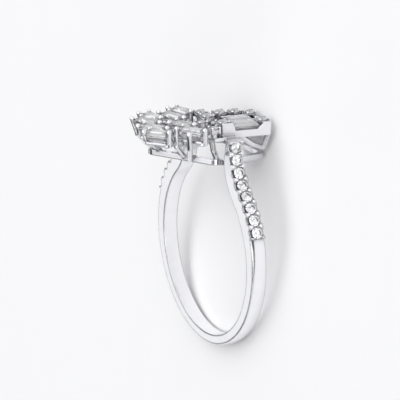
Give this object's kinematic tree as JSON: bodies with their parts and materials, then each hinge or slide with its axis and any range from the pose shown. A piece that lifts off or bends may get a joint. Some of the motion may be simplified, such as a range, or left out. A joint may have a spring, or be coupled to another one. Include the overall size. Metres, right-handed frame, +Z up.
{
  "type": "baguette diamond ring",
  "caption": "White gold ring with a wide claw-set head of baguette and round diamonds on an open basket, and diamond-set shoulders.",
  "frame": {"origin": "centre of the finger hole, midway across the band", "axes": "the ring lies on its side on a table. +X runs across the hoop to the far side from the viewer's left, +Y runs from the finger hole towards the head, a little downwards of square to the hoop's plane, and +Z is up. The finger hole's axis leans back from +Z by the angle at which the ring rests."},
  "size_m": [0.0196, 0.0234, 0.0133],
  "materials": {
    "white_gold": "polished, rhodium plated",
    "diamond": "faceted and clear"
  },
  "bodies": {
    "root": {"setting": "white_gold", "baguette_a1": "diamond", "baguette_a2": "diamond", "baguette_a3": "diamond", "baguette_a4": "diamond", "baguette_b1": "diamond", "baguette_b2": "diamond", "baguette_b3": "diamond", "baguette_b4": "diamond", "channel_baguette_1": "diamond", "channel_baguette_2": "diamond", "round_1": "diamond", "round_2": "diamond", "round_3": "diamond", "round_4": "diamond", "round_5": "diamond", "round_6": "diamond", "round_7": "diamond", "round_8": "diamond", "round_9": "diamond", "near_pave_1": "diamond", "near_pave_2": "diamond", "near_pave_3": "diamond", "near_pave_4": "diamond", "near_pave_5": "diamond", "near_pave_6": "diamond", "near_pave_7": "diamond", "near_pave_8": "diamond", "far_pave_1": "diamond", "far_pave_2": "diamond", "far_pave_3": "diamond", "far_pave_4": "diamond", "far_pave_5": "diamond", "far_pave_6": "diamond", "far_pave_7": "diamond", "far_pave_8": "diamond"}
  },
  "joints": []
}
